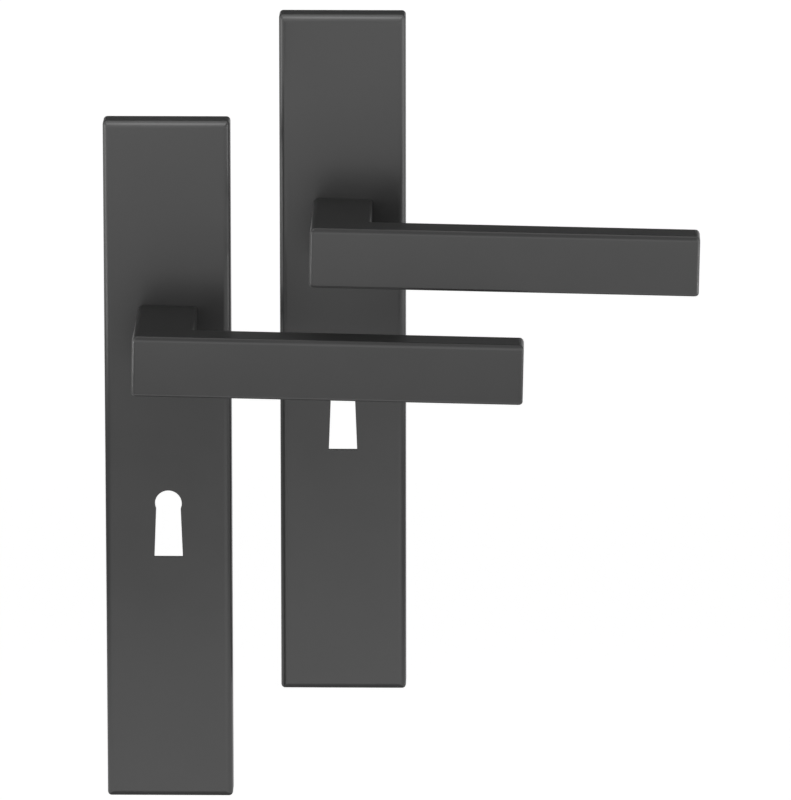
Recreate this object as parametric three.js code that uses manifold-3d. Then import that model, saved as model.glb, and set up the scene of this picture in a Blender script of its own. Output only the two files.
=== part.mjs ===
// Door lever handle set on long plates, mounted without visible screws.
// Each handle has a hollow cover plate snapped over a moulded base plate, and a sprung lever
// that turns in the cover. Both handles of the set stand side by side.
// Millimetres. +X runs along the grips, +Z is up and +Y runs into the door.
// The origin is the left handle's spindle axis, at the face of the door.

import * as THREE from 'three';
import { mergeVertices } from 'three/addons/utils/BufferGeometryUtils.js';
import Module from 'manifold-3d';

const wasm = await Module();
wasm.setup();

// Clearances
const fitGap = 0.3;
const neckGap = 0.4;
const sweepGap = 0.8;
const armBaseGap = 0.6;
const doorRoom = 0.9;
const journalDoorRoom = 0.3;
const cutOverrun = 1;

// Cover plate
const plateHeight = 224.6;
const plateWall = 1.6;
const plateEdgeRound = 2.5;
const plateCornerRound = 1.3;
const plateFrontCornerRound = 0.3;
const cavityCornerRound = 1;
const spindleBelowTop = 70.1;

// Keyhole for a bit key
const keyDistance = 56;
const keyHeadDiameter = 8.65;
const keyWaistWidth = 7.95;
const keyFootWidth = 9.2;
const keyHeight = 22.1;

// Lever
const neckLap = 0.4;
const neckReach = 33;
const gripTipReach = 114.9;
const gripHeight = 19.5;
const gripThickness = 12.3;
const leverEdgeRound = 0.8;
const leverCornerRound = 1.5;
const leverInnerRound = 0.8;
const restDroop = THREE.MathUtils.degToRad(1.15);
const leverTravel = THREE.MathUtils.degToRad(45);

// Spindle and its set screw
const spindleSize = 8;
const spindleLength = 100;
const spindleGrip = 30;
const spindleChamfer = 0.8;
const socketEndRoom = 2;
const setScrewDiameter = 5;
const setScrewRecess = 0.8;
const setScrewInset = 8;
const hexSocketAcross = 2.5;
const hexSocketDepth = 2.2;

// Journal of the lever, behind its neck
const grooveWall = 0.62;
const grooveDepth = 1;
const flatDepth = 0.8;
const journalSink = 3;
const journalLip = 0.6;

// Bearing bush in the cover
const bushWall = 0.8;
const bushFlangeWidth = 2.2;
const bushFlangeThickness = 1;
const bushFrontRecess = 0.2;
const seatRingWidth = 1.5;
const seatRingDepth = 1;

// Spring driver, keyed on the journal
const driverThickness = 1.5;
const hubWall = 1.2;
const hubLength = 1;
const armWidth = 5.2;
const tabStandOff = 2.4;
const tabThickness = 1.6;

// Washer and retaining ring behind the driver
const washerThickness = 0.8;
const ringThickness = 1;
const ringOpening = THREE.MathUtils.degToRad(52);

// Return spring around the driver's hub
const springWire = 1.3;
const springTurns = 1.3;
const springCoilGap = 0.5;
const springHubGap = 0.5;
const springLeg = 10;

// Stops and spring post cast inside the cover
const stopWidth = 3;
const stopLength = 3.4;
const stopWallGap = 1.05;
const postDiameter = 2.4;
const postStandOff = 3.2;

// Base plate
const baseSideStrip = 2.3;
const baseSkin = 1.4;
const baseRim = 2.2;
const ribThickness = 1.4;
const pocketPitch = 13;
const featureLand = 2.6;
const keyRelief = 3;
const boltInset = 14.5;

// Snap nibs on the base plate's long edges
const nibLength = 8;
const nibHold = 0.45;
const nibFrontInset = 0.8;
const nibWidth = 1.4;
const nibPlaceShares = [0.12, 0.5, 0.88];

// Through bolts and their sleeves
const fixingHeadDiameter = 9;
const sleeveFlangeThickness = 1.2;
const sleeveDiameter = 6.4;
const sleeveBore = 4.6;
const sleeveReach = 27;
const boltDiameter = 4;
const boltHeadThickness = 2;
const boltReach = 32;
const boltEndChamfer = 0.6;
const boltSlotWidth = 1;
const boltSlotDepth = 1.1;

// Place of the right handle beside the left one
const pairSpacing = 56;
const pairRise = 30.5;
const pairLeverClearance = 9.7;

// Fineness of round forms
const roundSteps = 48;
const smallRoundSteps = 24;
const arcSteps = 2;
const edgeSteps = 4;
const hexSides = 6;
const springSides = 8;
const springSteps = 52;

// Radii around the spindle, from its socket outwards
const socketHalf = spindleSize / 2 + fitGap;
const grooveRadius = Math.hypot(socketHalf, socketHalf) + grooveWall;
const journalRadius = grooveRadius + grooveDepth;
const bushBoreRadius = journalRadius + fitGap;
const bushRadius = bushBoreRadius + bushWall;
const flangeRadius = bushRadius + bushFlangeWidth;
const bearingHoleRadius = bushRadius + fitGap;
const neckHalf = bearingHoleRadius + neckLap;
const hubRadius = bushBoreRadius + hubWall;
const wireRadius = springWire / 2;
const coilRadius = hubRadius + springHubGap + wireRadius;
const coilOuterRadius = coilRadius + wireRadius;
const tabInnerReach = coilOuterRadius + tabStandOff;
const tabOuterReach = tabInnerReach + tabThickness;
const sweepRadius = Math.hypot(armWidth / 2, tabOuterReach);
const postReach = coilOuterRadius + postStandOff;
const postOuterReach = postReach + postDiameter / 2;
const driverRadius = postReach - postDiameter / 2 - sweepGap;
const mechanismRoomRadius = Math.max(sweepRadius, postOuterReach) + sweepGap;

// Widths of the plates, which hold that mechanism between their long edges
const baseHalfWidth = mechanismRoomRadius + baseSideStrip;
const cavityHalfWidth = baseHalfWidth + fitGap;
const plateHalfWidth = cavityHalfWidth + plateWall;
const stopOuterReach = cavityHalfWidth - stopWallGap;
const stopInnerReach = stopOuterReach - stopLength;
const armReach = stopOuterReach - fitGap;

// Depths along the spindle, from the end of the journal forwards to the grip
const journalBack = -journalDoorRoom;
const grooveBack = journalBack - journalLip;
const ringBack = grooveBack - fitGap;
const ringFront = ringBack - ringThickness;
const washerBack = ringFront - fitGap;
const washerFront = washerBack - washerThickness;
const hubBack = washerFront - fitGap;
const driverBack = hubBack - hubLength;
const driverFront = driverBack - driverThickness;
const flangeBack = driverFront - fitGap;
const flangeFront = flangeBack - bushFlangeThickness;
const plateInside = flangeFront - fitGap;
const plateFront = plateInside - plateWall;
const baseFront = driverBack + armBaseGap;
const shoulder = plateFront - neckGap;
const gripBack = plateFront - neckReach;
const gripFront = gripBack - gripThickness;

// Heights of the plates
const plateTop = spindleBelowTop;
const plateBottom = spindleBelowTop - plateHeight;
const baseTop = plateTop - plateWall - fitGap;
const baseBottom = plateBottom + plateWall + fitGap;
const boltHeights = [plateTop - boltInset, plateBottom + boltInset];
const keyHeadHeight = -keyDistance;
const keyFootHeight = keyHeadHeight + keyHeadDiameter / 2 - keyHeight;

// Angles of the return spring, clockwise from straight up as seen from the front
const tabCornerAngle = Math.atan2(armWidth / 2, tabInnerReach);
const tabCornerReach = Math.hypot(armWidth / 2, tabInnerReach);
const movingLegTurn = Math.acos((coilOuterRadius + fitGap) / tabCornerReach);
const movingAngle = restDroop + tabCornerAngle - movingLegTurn;
const fixedAngle = movingAngle - 2 * Math.PI * springTurns;
const fixedLegTurn = Math.acos((coilOuterRadius + postDiameter / 2 + fitGap) / postReach);
const postAngle = fixedAngle - fixedLegTurn;

// Finishes
function finish(color, roughness, metalness) {
  return new THREE.MeshStandardMaterial({ color, roughness, metalness });
}

const satinGraphite = finish(0x4b4b4d, 0.42, 0.55);
const blackNylon = finish(0x1f2022, 0.6, 0);
const whiteAcetal = finish(0xd9d7cf, 0.45, 0);
const zincSteel = finish(0xa9abad, 0.35, 0.9);
const springSteel = finish(0x77797c, 0.3, 0.9);
const blackSteel = finish(0x2b2c2e, 0.4, 0.8);

// Solids from geometries, and back
function solidOf(geometry) {
  geometry.deleteAttribute('normal');
  geometry.deleteAttribute('uv');
  const merged = mergeVertices(geometry);
  const corners = merged.index.array;
  const kept = [];
  for (let i = 0; i < corners.length; i += 3) {
    const [a, b, c] = corners.slice(i, i + 3);
    if (a !== b && b !== c && c !== a) {
      kept.push(a, b, c);
    }
  }
  const vertProperties = merged.attributes.position.array;
  const triVerts = Uint32Array.from(kept);
  return new wasm.Manifold(new wasm.Mesh({ numProp: 3, vertProperties, triVerts }));
}

function geometryOf(solid) {
  const { vertProperties, triVerts } = solid.getMesh();
  const geometry = new THREE.BufferGeometry();
  geometry.setAttribute('position', new THREE.BufferAttribute(vertProperties, 3));
  geometry.setIndex(new THREE.BufferAttribute(triVerts, 1));
  geometry.computeVertexNormals();
  return geometry;
}

function joined(first, ...others) {
  return others.reduce((whole, other) => whole.add(other), first);
}

function cut(first, ...tools) {
  return tools.reduce((rest, tool) => rest.subtract(tool), first);
}

function piece(name, solid, material) {
  const mesh = new THREE.Mesh(geometryOf(solid), material);
  mesh.name = name;
  return mesh;
}

// Basic forms
function block(low, high) {
  const geometry = new THREE.BoxGeometry(high[0] - low[0], high[1] - low[1], high[2] - low[2]);
  geometry.translate((low[0] + high[0]) / 2, (low[1] + high[1]) / 2, (low[2] + high[2]) / 2);
  return geometry;
}

// Turns a radius and depth profile around the spindle axis
function turned(profile, steps = roundSteps) {
  return new THREE.LatheGeometry(profile.map(([radius, y]) => new THREE.Vector2(radius, y)), steps);
}

function rod(radius, front, back, steps = roundSteps) {
  return turned([[0, front], [radius, front], [radius, back], [0, back]], steps);
}

// Stretches an outline drawn in X and Z through the depth from front to back
function prism(shape, front, back) {
  const geometry = new THREE.ExtrudeGeometry(shape, {
    depth: back - front,
    bevelEnabled: false,
    curveSegments: arcSteps,
  });
  return geometry.rotateX(Math.PI / 2).translate(0, back, 0);
}

// Plate with straight sides and a front edge that is rounded over, whose corners taper to the front
function edgedPlate(halfWidth, bottom, top, front, back) {
  const points = [];
  function addLevel(depth, inset, cornerRound) {
    const level = rectangle(halfWidth - inset, bottom + inset, top - inset, cornerRound);
    level.getPoints(arcSteps).forEach(({ x, y }) => points.push([x, depth, y]));
  }
  for (let step = 0; step <= edgeSteps; step += 1) {
    const turn = (Math.PI / 2) * (step / edgeSteps);
    const inset = plateEdgeRound * (1 - Math.sin(turn));
    const depth = front + plateEdgeRound * (1 - Math.cos(turn));
    addLevel(depth, inset, Math.max(plateCornerRound - inset, plateFrontCornerRound));
  }
  addLevel(back, 0, plateCornerRound);
  return wasm.Manifold.hull(points);
}

// An outline through corners given as x, y and radius, against the clock
function roundedOutline(corners) {
  const shape = new THREE.Shape();
  corners.forEach(([x, y, round], index) => {
    const here = new THREE.Vector2(x, y);
    const [beforeX, beforeY] = corners.at(index - 1);
    const [afterX, afterY] = corners[(index + 1) % corners.length];
    const back = new THREE.Vector2(beforeX, beforeY).sub(here).normalize();
    const ahead = new THREE.Vector2(afterX, afterY).sub(here).normalize();
    const halfAngle = Math.acos(back.dot(ahead)) / 2;
    const start = here.clone().addScaledVector(back, round / Math.tan(halfAngle));
    const end = here.clone().addScaledVector(ahead, round / Math.tan(halfAngle));
    const middle = back.clone().add(ahead).normalize();
    const centre = here.clone().addScaledVector(middle, round / Math.sin(halfAngle));
    const startAngle = Math.atan2(start.y - centre.y, start.x - centre.x);
    const endAngle = Math.atan2(end.y - centre.y, end.x - centre.x);
    const turnsInward = back.cross(ahead) > 0;
    shape.absarc(centre.x, centre.y, round, startAngle, endAngle, turnsInward);
  });
  return shape;
}

function rectangle(halfWidth, bottom, top, round) {
  return roundedOutline([
    [-halfWidth, bottom, round],
    [halfWidth, bottom, round],
    [halfWidth, top, round],
    [-halfWidth, top, round],
  ]);
}

// Round head over a foot that flares downwards
function keyholeShape() {
  const headRadius = keyHeadDiameter / 2;
  const waist = keyWaistWidth / 2;
  const waistAngle = Math.acos(waist / headRadius);
  const shape = new THREE.Shape();
  shape.moveTo(-keyFootWidth / 2, keyFootHeight);
  shape.lineTo(keyFootWidth / 2, keyFootHeight);
  shape.absarc(0, keyHeadHeight, headRadius, -waistAngle, Math.PI + waistAngle, false);
  return shape;
}

function keyholeCutter(front, back) {
  const geometry = new THREE.ExtrudeGeometry(keyholeShape(), {
    depth: back - front,
    bevelEnabled: false,
    curveSegments: smallRoundSteps / 2,
  });
  return solidOf(geometry.rotateX(Math.PI / 2).translate(0, back, 0));
}

// Stops that the driver's arm meets at rest and at full travel
function stopBlock(angle, side) {
  const near = side * (armWidth / 2 + fitGap);
  const far = side * (armWidth / 2 + fitGap + stopWidth);
  const geometry = block(
    [Math.min(near, far), plateInside - plateWall / 2, stopInnerReach],
    [Math.max(near, far), baseFront - fitGap, stopOuterReach],
  );
  return solidOf(geometry.rotateY(angle));
}

function springPost() {
  const geometry = rod(postDiameter / 2, plateInside - plateWall / 2, -doorRoom, smallRoundSteps);
  return solidOf(geometry.translate(0, 0, postReach).rotateY(postAngle));
}

function seatRing() {
  const inner = flangeRadius + fitGap;
  const outer = inner + seatRingWidth;
  const front = plateInside - plateWall / 2;
  const back = plateInside + seatRingDepth;
  return solidOf(turned([[inner, front], [outer, front], [outer, back], [inner, back], [inner, front]]));
}

// Heights of the snap nibs along the base plate
function nibHeights() {
  return nibPlaceShares.map((share) => baseBottom + share * (baseTop - baseBottom));
}

function nibGrooves() {
  const reach = cavityHalfWidth + nibHold + fitGap;
  const front = baseFront + nibFrontInset - fitGap;
  const back = baseFront + nibFrontInset + nibWidth + fitGap;
  const halfLength = nibLength / 2 + fitGap;
  return nibHeights().map((z) => solidOf(block(
    [-reach, front, z - halfLength],
    [reach, back, z + halfLength],
  )));
}

// Hollow plate with rounded front edges, open towards the door
function coverPlate() {
  const cavity = rectangle(
    cavityHalfWidth, plateBottom + plateWall, plateTop - plateWall, cavityCornerRound);
  const shell = cut(
    edgedPlate(plateHalfWidth, plateBottom, plateTop, plateFront, 0),
    solidOf(prism(cavity, plateInside, cutOverrun)),
  );
  const fitted = joined(
    shell,
    seatRing(),
    stopBlock(restDroop, -1),
    stopBlock(restDroop + leverTravel, 1),
    springPost(),
  );
  return cut(
    fitted,
    solidOf(rod(bearingHoleRadius, plateFront - cutOverrun, plateInside + cutOverrun)),
    keyholeCutter(plateFront - cutOverrun, plateInside + cutOverrun),
    ...nibGrooves(),
  );
}

// Moulded base plate: rim, ribs, pockets open towards the door, and snap nibs
function pocketBay(bottom, top) {
  const rows = Math.max(1, Math.round((top - bottom) / pocketPitch));
  const rowHeight = (top - bottom - (rows - 1) * ribThickness) / rows;
  const outer = baseHalfWidth - baseRim;
  const pockets = [];
  for (let row = 0; row < rows; row += 1) {
    const low = bottom + row * (rowHeight + ribThickness);
    const high = low + rowHeight;
    for (const [left, right] of [[-outer, -ribThickness / 2], [ribThickness / 2, outer]]) {
      pockets.push(solidOf(block([left, baseFront + baseSkin, low], [right, cutOverrun, high])));
    }
  }
  return pockets;
}

function basePockets() {
  const bossRadius = fixingHeadDiameter / 2 + fitGap + featureLand;
  const roomEdge = mechanismRoomRadius + featureLand;
  const keyTop = keyHeadHeight + keyFootWidth / 2 + keyRelief + featureLand;
  const keyBottom = keyFootHeight - keyRelief - featureLand;
  return [
    ...pocketBay(roomEdge, boltHeights[0] - bossRadius),
    ...pocketBay(keyTop, -roomEdge),
    ...pocketBay(boltHeights[1] + bossRadius, keyBottom),
  ];
}

function boltSeats() {
  return boltHeights.flatMap((z) => {
    const seatDepth = sleeveFlangeThickness + fitGap;
    const hole = rod(sleeveDiameter / 2 + fitGap, baseFront - cutOverrun, cutOverrun, smallRoundSteps);
    const seat = rod(
      fixingHeadDiameter / 2 + fitGap, baseFront - cutOverrun, baseFront + seatDepth, smallRoundSteps);
    return [solidOf(hole.translate(0, 0, z)), solidOf(seat.translate(0, 0, z))];
  });
}

function keyReliefCutter() {
  const halfWidth = keyFootWidth / 2 + keyRelief;
  const shape = new THREE.Shape();
  shape.moveTo(-halfWidth, keyFootHeight - keyRelief);
  shape.lineTo(halfWidth, keyFootHeight - keyRelief);
  shape.lineTo(halfWidth, keyHeadHeight);
  shape.absarc(0, keyHeadHeight, halfWidth, 0, Math.PI, false);
  const geometry = new THREE.ExtrudeGeometry(shape, {
    depth: 2 * cutOverrun - baseFront,
    bevelEnabled: false,
    curveSegments: smallRoundSteps / 2,
  });
  return solidOf(geometry.rotateX(Math.PI / 2).translate(0, cutOverrun, 0));
}

// Wedge that slopes towards the door and hooks behind the cover's groove
function snapNib(z, side) {
  const root = baseHalfWidth - nibHold;
  const tip = baseHalfWidth + fitGap + nibHold;
  const front = baseFront + nibFrontInset;
  const shape = new THREE.Shape();
  shape.moveTo(root, front);
  shape.lineTo(tip, front);
  shape.lineTo(baseHalfWidth, front + nibWidth);
  shape.lineTo(root, front + nibWidth);
  const geometry = new THREE.ExtrudeGeometry(shape, { depth: nibLength, bevelEnabled: false });
  geometry.translate(0, 0, -nibLength / 2);
  if (side < 0) {
    geometry.rotateY(Math.PI);
  }
  return solidOf(geometry.translate(0, 0, z));
}

function basePlate() {
  const outline = rectangle(baseHalfWidth, baseBottom, baseTop, cavityCornerRound + fitGap);
  const nibs = nibHeights().flatMap((z) => [snapNib(z, -1), snapNib(z, 1)]);
  return cut(
    joined(solidOf(prism(outline, baseFront, 0)), ...nibs),
    solidOf(rod(mechanismRoomRadius, baseFront - cutOverrun, cutOverrun)),
    keyReliefCutter(),
    ...basePockets(),
    ...boltSeats(),
  );
}

// Lever: neck and grip in one casting, with the journal that turns in the bush
function neckAndGrip() {
  const neckEnd = shoulder + leverEdgeRound + cutOverrun;
  const outline = roundedOutline([
    [-neckHalf, gripFront, leverCornerRound],
    [gripTipReach, gripFront, leverCornerRound],
    [gripTipReach, gripBack, leverCornerRound],
    [neckHalf, gripBack, leverInnerRound],
    [neckHalf, neckEnd, leverCornerRound],
    [-neckHalf, neckEnd, leverCornerRound],
  ]);
  const geometry = new THREE.ExtrudeGeometry(outline, {
    depth: gripHeight - 2 * leverEdgeRound,
    bevelThickness: leverEdgeRound,
    bevelSize: leverEdgeRound,
    bevelOffset: -leverEdgeRound,
    bevelSegments: edgeSteps,
    curveSegments: arcSteps,
  });
  geometry.translate(0, 0, leverEdgeRound - gripHeight / 2);
  const behindShoulder = block(
    [-neckHalf - cutOverrun, shoulder, -gripHeight],
    [neckHalf + cutOverrun, neckEnd + cutOverrun, gripHeight],
  );
  return cut(solidOf(geometry), solidOf(behindShoulder));
}

function journal() {
  const profile = [
    [0, shoulder - journalSink],
    [journalRadius, shoulder - journalSink],
    [journalRadius, washerBack],
    [grooveRadius, washerBack],
    [grooveRadius, grooveBack],
    [journalRadius, grooveBack],
    [journalRadius, journalBack],
    [0, journalBack],
  ];
  const flatCutters = [-1, 1].map((side) => {
    const near = side * (journalRadius - flatDepth);
    const far = side * (journalRadius + cutOverrun);
    return solidOf(block(
      [Math.min(near, far), flangeBack, -journalRadius],
      [Math.max(near, far), journalBack + cutOverrun, journalRadius],
    ));
  });
  return cut(solidOf(turned(profile)), ...flatCutters);
}

// The set screw comes up through the neck's underside
function setScrewHole() {
  const geometry = rod(setScrewDiameter / 2 + fitGap, -gripHeight, 0, smallRoundSteps);
  return solidOf(geometry.rotateX(Math.PI / 2).translate(0, shoulder - setScrewInset, 0));
}

function lever() {
  const socket = block(
    [-socketHalf, journalBack - spindleGrip - socketEndRoom, -socketHalf],
    [socketHalf, journalBack + cutOverrun, socketHalf],
  );
  return cut(joined(neckAndGrip(), journal()), solidOf(socket), setScrewHole());
}

function setScrew() {
  const top = -socketHalf;
  const bottom = setScrewRecess - gripHeight / 2;
  const body = rod(setScrewDiameter / 2, bottom, top, smallRoundSteps);
  const hexRadius = hexSocketAcross / Math.sqrt(3);
  const socket = rod(hexRadius, bottom - cutOverrun, bottom + hexSocketDepth, hexSides);
  const screw = geometryOf(cut(solidOf(body), solidOf(socket)));
  return solidOf(screw.rotateX(Math.PI / 2).translate(0, shoulder - setScrewInset, 0));
}

// Flanged bush that the journal turns in
function bearingBush() {
  const front = plateFront + bushFrontRecess;
  return solidOf(turned([
    [bushBoreRadius, front],
    [bushRadius, front],
    [bushRadius, flangeFront],
    [flangeRadius, flangeFront],
    [flangeRadius, flangeBack],
    [bushBoreRadius, flangeBack],
    [bushBoreRadius, front],
  ]));
}

// Disc and hub keyed on the journal's flats, with an arm for the stops and a tab for the spring
function springDriver() {
  const disc = rod(driverRadius, driverFront, driverBack);
  const hub = rod(hubRadius, driverFront, hubBack);
  const arm = block([-armWidth / 2, driverFront, 0], [armWidth / 2, driverBack, armReach]);
  const tab = block([-armWidth / 2, driverFront, tabInnerReach], [armWidth / 2, -doorRoom, tabOuterReach]);
  const halfFlats = journalRadius - flatDepth + fitGap;
  const betweenFlats = block(
    [-halfFlats, driverFront - cutOverrun, -hubRadius],
    [halfFlats, hubBack + cutOverrun, hubRadius],
  );
  const bore = rod(bushBoreRadius, driverFront - cutOverrun, hubBack + cutOverrun);
  const keyedBore = solidOf(bore).intersect(solidOf(betweenFlats));
  return cut(joined(solidOf(disc), solidOf(hub), solidOf(arm), solidOf(tab)), keyedBore);
}

function thrustWasher() {
  return solidOf(turned([
    [bushBoreRadius, washerFront],
    [hubRadius, washerFront],
    [hubRadius, washerBack],
    [bushBoreRadius, washerBack],
    [bushBoreRadius, washerFront],
  ]));
}

// Open ring in the journal's groove
function retainingRing() {
  const inner = grooveRadius + fitGap;
  const shape = new THREE.Shape();
  const start = ringOpening / 2 - Math.PI / 2;
  const end = Math.PI * 3 / 2 - ringOpening / 2;
  shape.absarc(0, 0, hubRadius, start, end, false);
  shape.absarc(0, 0, inner, end, start, true);
  const geometry = new THREE.ExtrudeGeometry(shape, {
    depth: ringThickness,
    bevelEnabled: false,
    curveSegments: roundSteps / 4,
  });
  return solidOf(geometry.rotateX(Math.PI / 2).translate(0, ringBack, 0));
}

// Centre line of the return spring: straight leg, coil, straight leg
class TorsionSpringLine extends THREE.Curve {
  constructor() {
    super();
    this.front = driverBack + fitGap + wireRadius;
    this.advance = (springWire + springCoilGap) * springTurns;
    this.coilLength = coilRadius * (movingAngle - fixedAngle);
    this.length = this.coilLength + 2 * springLeg;
  }

  getPoint(t, target = new THREE.Vector3()) {
    const along = t * this.length - springLeg;
    const share = THREE.MathUtils.clamp(along / this.coilLength, 0, 1);
    const angle = THREE.MathUtils.lerp(fixedAngle, movingAngle, share);
    const beyond = along - share * this.coilLength;
    return target.set(
      coilRadius * Math.sin(angle) + beyond * Math.cos(angle),
      this.front + (1 - share) * this.advance,
      coilRadius * Math.cos(angle) - beyond * Math.sin(angle),
    );
  }
}

// Least gap between turns, measured on points of the line that are over half a turn apart
function leastCoilGap(line) {
  const points = line.getSpacedPoints(springSteps * springSides);
  const apart = Math.PI * coilRadius;
  const step = line.length / (points.length - 1);
  let least = Infinity;
  points.forEach((point, index) => {
    for (let other = index + Math.ceil(apart / step); other < points.length; other += 1) {
      least = Math.min(least, point.distanceTo(points[other]) - springWire);
    }
  });
  return least;
}

function returnSpring() {
  const line = new TorsionSpringLine();
  const section = new THREE.Shape().absarc(0, 0, wireRadius, 0, 2 * Math.PI, false);
  const geometry = new THREE.ExtrudeGeometry(section, {
    steps: springSteps,
    curveSegments: springSides / 2,
    extrudePath: line,
  });
  console.log('least gap between the turns of the return spring', leastCoilGap(line).toFixed(2), 'mm');
  return solidOf(geometry);
}

// Fixings
function throughBolt() {
  const seat = baseFront + sleeveFlangeThickness;
  const top = seat - boltHeadThickness;
  const body = turned([
    [0, top],
    [fixingHeadDiameter / 2 - boltEndChamfer, top],
    [fixingHeadDiameter / 2, top + boltEndChamfer],
    [fixingHeadDiameter / 2, seat],
    [boltDiameter / 2, seat],
    [boltDiameter / 2, boltReach - boltEndChamfer],
    [boltDiameter / 2 - boltEndChamfer, boltReach],
    [0, boltReach],
  ], smallRoundSteps);
  const slot = block(
    [-fixingHeadDiameter, top - cutOverrun, -boltSlotWidth / 2],
    [fixingHeadDiameter, top + boltSlotDepth, boltSlotWidth / 2],
  );
  return cut(solidOf(body), solidOf(slot));
}

function boltSleeve() {
  const seat = baseFront + sleeveFlangeThickness;
  return solidOf(turned([
    [sleeveBore / 2, baseFront],
    [fixingHeadDiameter / 2, baseFront],
    [fixingHeadDiameter / 2, seat],
    [sleeveDiameter / 2, seat],
    [sleeveDiameter / 2, sleeveReach],
    [sleeveBore / 2, sleeveReach],
    [sleeveBore / 2, baseFront],
  ], smallRoundSteps));
}

function squareSpindle() {
  const half = spindleSize / 2;
  const shape = new THREE.Shape();
  shape.moveTo(-half, -half);
  shape.lineTo(half, -half);
  shape.lineTo(half, half);
  shape.lineTo(-half, half);
  const front = journalBack - spindleGrip;
  const geometry = new THREE.ExtrudeGeometry(shape, {
    depth: spindleLength - 2 * spindleChamfer,
    bevelThickness: spindleChamfer,
    bevelSize: spindleChamfer,
    bevelOffset: -spindleChamfer,
    bevelSegments: 1,
  });
  return solidOf(geometry.rotateX(Math.PI / 2).translate(0, front + spindleLength - spindleChamfer, 0));
}

// One handle, with the lever and what turns with it in a group of its own
function handle(side) {
  const group = new THREE.Group();
  group.add(
    piece(`${side}_cover_plate`, coverPlate(), satinGraphite),
    piece(`${side}_base_plate`, basePlate(), blackNylon),
    piece(`${side}_bearing_bush`, bearingBush(), whiteAcetal),
    piece(`${side}_return_spring`, returnSpring(), springSteel),
  );
  const turning = new THREE.Group();
  turning.rotation.y = restDroop;
  turning.add(
    piece(`${side}_lever`, lever(), satinGraphite),
    piece(`${side}_set_screw`, setScrew(), blackSteel),
    piece(`${side}_spring_driver`, springDriver(), zincSteel),
    piece(`${side}_thrust_washer`, thrustWasher(), zincSteel),
    piece(`${side}_retaining_ring`, retainingRing(), springSteel),
  );
  group.add(turning);
  return { group, turning };
}

function addFixings(group, names, makeSolid) {
  boltHeights.forEach((z, index) => {
    const fixing = piece(names[index], makeSolid(), zincSteel);
    fixing.position.z = z;
    group.add(fixing);
  });
}

const left = handle('left');
left.turning.add(piece('square_spindle', squareSpindle(), zincSteel));
addFixings(left.group, ['left_upper_sleeve', 'left_lower_sleeve'], boltSleeve);

const right = handle('right');
addFixings(right.group, ['right_upper_bolt', 'right_lower_bolt'], throughBolt);
right.group.position.set(pairSpacing, gripThickness + pairLeverClearance, pairRise);

const handleSet = new THREE.Group();
handleSet.add(left.group, right.group);

export default handleSet;
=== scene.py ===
# Door lever handle set on long plates: the finish of every piece around the packed model.
# Laid out as an add-on and run as a script. Metres, with +X along the grips, +Z up and +Y into the door.

import math

import bmesh
import bpy
from mathutils import Matrix, Vector


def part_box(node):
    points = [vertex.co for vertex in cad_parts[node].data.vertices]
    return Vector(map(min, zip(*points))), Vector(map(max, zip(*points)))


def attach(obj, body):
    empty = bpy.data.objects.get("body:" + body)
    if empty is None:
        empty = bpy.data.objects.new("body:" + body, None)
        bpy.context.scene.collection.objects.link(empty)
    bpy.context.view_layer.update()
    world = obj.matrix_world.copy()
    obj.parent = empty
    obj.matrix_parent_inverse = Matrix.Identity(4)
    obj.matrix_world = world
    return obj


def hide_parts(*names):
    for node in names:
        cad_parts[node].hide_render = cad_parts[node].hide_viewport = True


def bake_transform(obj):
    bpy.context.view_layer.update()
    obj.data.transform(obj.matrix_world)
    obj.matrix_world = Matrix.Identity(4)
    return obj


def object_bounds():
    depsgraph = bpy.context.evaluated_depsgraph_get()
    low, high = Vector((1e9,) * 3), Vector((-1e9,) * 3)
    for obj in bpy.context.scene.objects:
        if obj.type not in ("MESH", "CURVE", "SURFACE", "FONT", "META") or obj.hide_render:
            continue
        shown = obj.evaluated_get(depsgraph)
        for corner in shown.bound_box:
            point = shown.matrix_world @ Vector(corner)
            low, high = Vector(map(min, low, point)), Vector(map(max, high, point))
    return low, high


bl_info = {
    "name": "Door Lever Handle Set",
    "version": (1, 0, 0),
    "blender": (4, 5, 0),
    "location": "View3D > Sidebar > Handle",
    "description": "Builds a pair of sprung lever handles on long plates around their packed model",
    "category": "Add Mesh",
}

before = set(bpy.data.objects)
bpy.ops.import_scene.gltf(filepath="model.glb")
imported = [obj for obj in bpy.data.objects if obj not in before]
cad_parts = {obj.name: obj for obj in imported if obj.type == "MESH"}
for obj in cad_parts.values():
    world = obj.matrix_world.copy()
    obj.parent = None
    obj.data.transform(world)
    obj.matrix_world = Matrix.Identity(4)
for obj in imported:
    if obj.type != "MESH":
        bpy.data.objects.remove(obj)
CAD_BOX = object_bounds()

MM = 0.001
SIDES = ("left", "right")

# Fineness of the meshes
CORNER_STEPS = 8
EDGE_STEPS = 8
KEYHOLE_STEPS = 48
TURN_STEPS = 96
SHARP_ANGLE = math.radians(32)
MERGE_DISTANCE = 0.001 * MM
FLAT_ANGLE = math.radians(0.3)
CUT_OVERRUN = 1 * MM
THREAD_ROWS = 8
THREAD_MERGE_DISTANCE = MERGE_DISTANCE / 2

# Share of the thread's depth by which its slopes overshoot crest and root, where they are cut flat
THREAD_OVERSHOOT_SHARE = 0.2

# Places of the snap nibs along the base plate
NIB_SHARES = (0.12, 0.5, 0.88)

# Values between which nearly all of a noise lies
NOISE_LOW = 0.3
NOISE_HIGH = 0.7

# How steeply the edge mask rises, and the length of the scratches on drawn steel
EDGE_CONTRAST = 6.0
SCRATCH_LENGTH = 25 * MM

BLACK = (0.0, 0.0, 0.0, 1.0)
WHITE = (1.0, 1.0, 1.0, 1.0)


# Sizes, colours and stage settings that a user would change

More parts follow.
